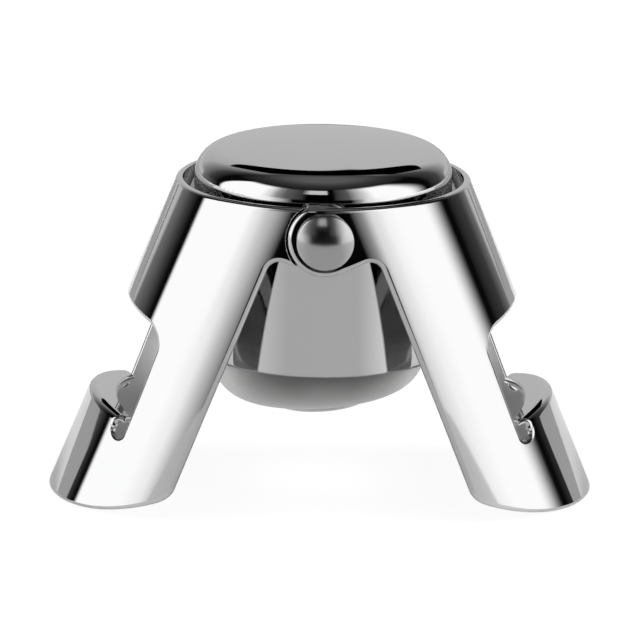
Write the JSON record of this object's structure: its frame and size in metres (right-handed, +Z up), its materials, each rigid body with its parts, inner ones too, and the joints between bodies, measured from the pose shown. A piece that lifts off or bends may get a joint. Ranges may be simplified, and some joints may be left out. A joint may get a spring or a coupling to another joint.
{
  "type": "champagne stopper",
  "caption": "Polished metal stopper for a sparkling wine bottle: a domed shell with a soft seal below, and hinged wings whose hooks grip under the ring of the bottle.",
  "frame": {"origin": "on the surface that the feet stand on, midway between them and under the middle of the shell", "axes": "+Z up along the shell's axis, +X across the spread wings towards the right wing, Y along the pivot pin with its head at -Y"},
  "size_m": [0.0824, 0.048, 0.0536],
  "materials": {
    "polished_chrome": "mirror polished",
    "grey_silicone": "matte",
    "black_moulding": "fine moulded texture"
  },
  "bodies": {
    "stopper_body": {"body_shell": "polished_chrome", "inner_core": "black_moulding", "sealing_disc": "grey_silicone", "pivot_pin": "polished_chrome", "pin_end_cap": "polished_chrome"},
    "right_wing": {"right_wing": "polished_chrome"},
    "left_wing": {"left_wing": "polished_chrome"}
  },
  "joints": [
    {"name": "right_wing_swing", "type": "hinge", "parent": "stopper_body", "child": "right_wing", "pos_m": [0, 0, 0.0435], "axis": [0, 1, 0], "range_deg": [0, 26]},
    {"name": "left_wing_swing", "type": "hinge", "parent": "stopper_body", "child": "left_wing", "pos_m": [0, 0, 0.0435], "axis": [0, -1, 0], "range_deg": [0, 26]}
  ]
}
